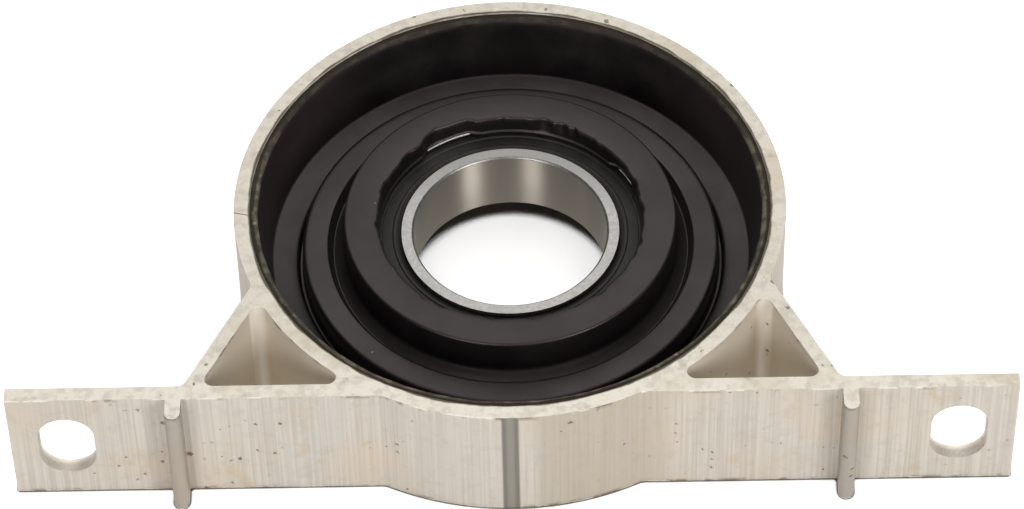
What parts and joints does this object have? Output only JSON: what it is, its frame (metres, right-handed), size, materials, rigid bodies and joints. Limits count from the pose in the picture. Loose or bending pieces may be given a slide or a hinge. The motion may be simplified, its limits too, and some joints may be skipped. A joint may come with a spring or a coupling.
{
  "type": "driveshaft centre bearing",
  "caption": "Driveshaft centre support: a sealed ball bearing held by a rubber bush in an extruded aluminium bracket with slotted ears.",
  "frame": {"origin": "middle of the bearing's shaft bore", "axes": "+Z along the shaft axis, up as the part lies on the bracket's sawn end; +X along the mounting plate; +Y from the plate towards the ring"},
  "size_m": [0.151, 0.085, 0.022],
  "materials": {
    "bracket": "mill finish extrusion, sawn ends, light staining",
    "rubber": "matt moulded rubber",
    "sleeve_steel": "pressed steel",
    "ring_steel": "ground bearing steel",
    "seal_rubber": "moulded black seal",
    "cage_steel": "pressed sheet",
    "ball_steel": "polished"
  },
  "bodies": {
    "bracket": {"bracket": "bracket", "rubber_bush": "rubber"},
    "carrier": {"bearing_sleeve": "sleeve_steel", "outer_ring": "ring_steel", "seal_upper": "seal_rubber", "seal_lower": "seal_rubber"},
    "inner_ring": {"inner_ring": "ring_steel"},
    "cage": {"cage_upper": "cage_steel", "cage_lower": "cage_steel", "cage_rivets": "cage_steel"},
    "ball_01": {"ball_01": "ball_steel"},
    "ball_02": {"ball_02": "ball_steel"},
    "ball_03": {"ball_03": "ball_steel"},
    "ball_04": {"ball_04": "ball_steel"},
    "ball_05": {"ball_05": "ball_steel"},
    "ball_06": {"ball_06": "ball_steel"},
    "ball_07": {"ball_07": "ball_steel"},
    "ball_08": {"ball_08": "ball_steel"},
    "ball_09": {"ball_09": "ball_steel"},
    "ball_10": {"ball_10": "ball_steel"},
    "ball_11": {"ball_11": "ball_steel"},
    "ball_12": {"ball_12": "ball_steel"},
    "ball_13": {"ball_13": "ball_steel"},
    "ball_14": {"ball_14": "ball_steel"}
  },
  "joints": [
    {"name": "bush_float", "type": "slide", "parent": "bracket", "child": "carrier", "axis": [0, 0, 1], "range_m": [-0.005, 0.005], "stiffness_N_per_m": 30000, "deforming": ["rubber_bush"]},
    {"name": "shaft_spin", "type": "hinge", "parent": "carrier", "child": "inner_ring", "pos_m": [0, 0, 0], "axis": [0, 0, 1], "continuous": true},
    {"name": "cage_orbit", "type": "hinge", "parent": "carrier", "child": "cage", "pos_m": [0, 0, 0], "axis": [0, 0, 1], "continuous": true},
    {"name": "ball_01_spin", "type": "hinge", "parent": "cage", "child": "ball_01", "pos_m": [0.01925, 0, 0], "axis": [0, 0, 1], "continuous": true},
    {"name": "ball_02_spin", "type": "hinge", "parent": "cage", "child": "ball_02", "pos_m": [0.01734, 0.00835, 0], "axis": [0, 0, 1], "continuous": true},
    {"name": "ball_03_spin", "type": "hinge", "parent": "cage", "child": "ball_03", "pos_m": [0.012, 0.01505, 0], "axis": [0, 0, 1], "continuous": true},
    {"name": "ball_04_spin", "type": "hinge", "parent": "cage", "child": "ball_04", "pos_m": [0.00428, 0.01877, 0], "axis": [0, 0, 1], "continuous": true},
    {"name": "ball_05_spin", "type": "hinge", "parent": "cage", "child": "ball_05", "pos_m": [-0.00428, 0.01877, 0], "axis": [0, 0, 1], "continuous": true},
    {"name": "ball_06_spin", "type": "hinge", "parent": "cage", "child": "ball_06", "pos_m": [-0.012, 0.01505, 0], "axis": [0, 0, 1], "continuous": true},
    {"name": "ball_07_spin", "type": "hinge", "parent": "cage", "child": "ball_07", "pos_m": [-0.01734, 0.00835, 0], "axis": [0, 0, 1], "continuous": true},
    {"name": "ball_08_spin", "type": "hinge", "parent": "cage", "child": "ball_08", "pos_m": [-0.01925, 0, 0], "axis": [0, 0, 1], "continuous": true},
    {"name": "ball_09_spin", "type": "hinge", "parent": "cage", "child": "ball_09", "pos_m": [-0.01734, -0.00835, 0], "axis": [0, 0, 1], "continuous": true},
    {"name": "ball_10_spin", "type": "hinge", "parent": "cage", "child": "ball_10", "pos_m": [-0.012, -0.01505, 0], "axis": [0, 0, 1], "continuous": true},
    {"name": "ball_11_spin", "type": "hinge", "parent": "cage", "child": "ball_11", "pos_m": [-0.00428, -0.01877, 0], "axis": [0, 0, 1], "continuous": true},
    {"name": "ball_12_spin", "type": "hinge", "parent": "cage", "child": "ball_12", "pos_m": [0.00428, -0.01877, 0], "axis": [0, 0, 1], "continuous": true},
    {"name": "ball_13_spin", "type": "hinge", "parent": "cage", "child": "ball_13", "pos_m": [0.012, -0.01505, 0], "axis": [0, 0, 1], "continuous": true},
    {"name": "ball_14_spin", "type": "hinge", "parent": "cage", "child": "ball_14", "pos_m": [0.01734, -0.00835, 0], "axis": [0, 0, 1], "continuous": true}
  ],
  "couplings": [
    {"joint": "cage_orbit", "follows": "shaft_spin", "ratio": 0.43818},
    {"joint": "ball_01_spin", "follows": "shaft_spin", "ratio": -3.9823},
    {"joint": "ball_02_spin", "follows": "shaft_spin", "ratio": -3.9823},
    {"joint": "ball_03_spin", "follows": "shaft_spin", "ratio": -3.9823},
    {"joint": "ball_04_spin", "follows": "shaft_spin", "ratio": -3.9823},
    {"joint": "ball_05_spin", "follows": "shaft_spin", "ratio": -3.9823},
    {"joint": "ball_06_spin", "follows": "shaft_spin", "ratio": -3.9823},
    {"joint": "ball_07_spin", "follows": "shaft_spin", "ratio": -3.9823},
    {"joint": "ball_08_spin", "follows": "shaft_spin", "ratio": -3.9823},
    {"joint": "ball_09_spin", "follows": "shaft_spin", "ratio": -3.9823},
    {"joint": "ball_10_spin", "follows": "shaft_spin", "ratio": -3.9823},
    {"joint": "ball_11_spin", "follows": "shaft_spin", "ratio": -3.9823},
    {"joint": "ball_12_spin", "follows": "shaft_spin", "ratio": -3.9823},
    {"joint": "ball_13_spin", "follows": "shaft_spin", "ratio": -3.9823},
    {"joint": "ball_14_spin", "follows": "shaft_spin", "ratio": -3.9823}
  ]
}
